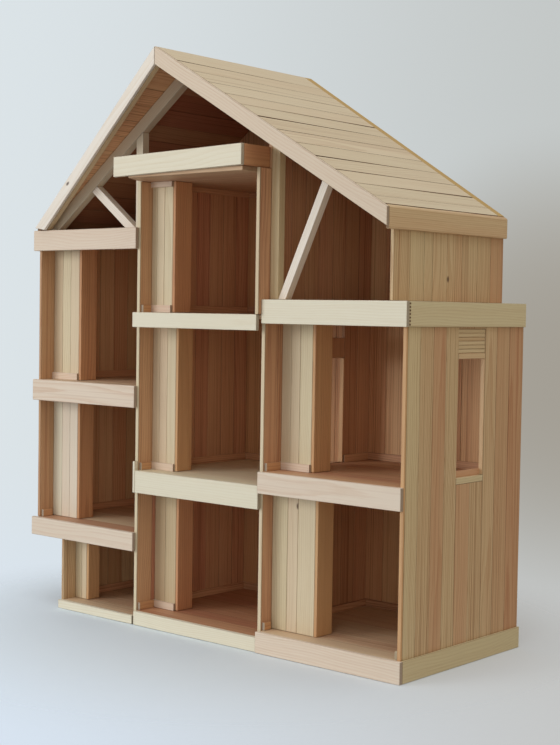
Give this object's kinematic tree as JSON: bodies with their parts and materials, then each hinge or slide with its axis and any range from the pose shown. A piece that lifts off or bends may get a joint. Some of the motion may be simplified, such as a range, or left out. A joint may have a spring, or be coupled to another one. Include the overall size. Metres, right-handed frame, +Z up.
{
  "type": "dollhouse",
  "caption": "Open-front wooden dollhouse with split-level rooms, planked walls, return walls, a canopy and a gable roof whose front leans out, made to hang on a wall or stand.",
  "frame": {"origin": "on the ground under the middle of the whole house's box", "axes": "+X to the viewer's right, +Y from the open front to the back, +Z up"},
  "size_m": [0.6934, 0.327, 0.7979],
  "materials": {
    "facing_wood": "bare sanded pale softwood",
    "wall_wood": "bare planed softwood strips, vertical grain",
    "floor_wood": "bare planed softwood strips, matt",
    "panel_wood": "bare softwood strips, matt, a little darker",
    "roof_wood": "bare softwood strips, matt, greyed",
    "frame_wood": "bare square softwood lengths"
  },
  "bodies": {
    "root": {"left_ground_floor": "floor_wood", "left_second_floor": "floor_wood", "left_first_floor": "floor_wood", "left_attic_floor": "floor_wood", "middle_ground_floor": "floor_wood", "middle_first_floor": "floor_wood", "middle_second_floor": "floor_wood", "middle_ceiling": "floor_wood", "right_ground_floor": "floor_wood", "right_first_floor": "floor_wood", "right_attic_floor": "floor_wood", "left_ground_facing": "facing_wood", "left_first_facing": "facing_wood", "left_second_facing": "facing_wood", "left_attic_facing": "facing_wood", "middle_ground_facing": "facing_wood", "middle_first_facing": "facing_wood", "middle_second_facing": "facing_wood", "right_ground_facing": "facing_wood", "right_first_facing": "facing_wood", "right_attic_facing": "facing_wood", "right_ground_side_band": "facing_wood", "right_attic_side_band": "facing_wood", "left_eave_board": "facing_wood", "left_lower_wall": "wall_wood", "left_upper_wall": "wall_wood", "right_lower_wall": "wall_wood", "right_upper_wall": "wall_wood", "window_lintel": "frame_wood", "window_head_panel": "wall_wood", "left_partition": "wall_wood", "right_lower_partition": "wall_wood", "right_upper_partition": "wall_wood", "left_back_panel": "panel_wood", "middle_back_panel": "panel_wood", "right_back_panel": "panel_wood", "left_ground_return_wall": "wall_wood", "left_first_return_wall": "wall_wood", "left_second_return_wall": "wall_wood", "middle_ground_return_wall": "wall_wood", "middle_first_return_wall": "wall_wood", "middle_second_return_wall": "wall_wood", "right_ground_return_wall": "wall_wood", "right_first_return_wall": "wall_wood", "canopy_front": "facing_wood", "canopy_left_side": "wall_wood", "canopy_right_side": "wall_wood", "left_roof_boards": "roof_wood", "right_roof_boards": "roof_wood", "left_bargeboard": "facing_wood", "right_bargeboard": "facing_wood", "right_eave_board": "facing_wood", "left_rafter": "frame_wood", "right_rafter": "frame_wood", "left_post": "frame_wood", "left_brace": "frame_wood", "right_post": "frame_wood", "right_brace": "frame_wood", "hanging_rail": "frame_wood"}
  },
  "joints": []
}
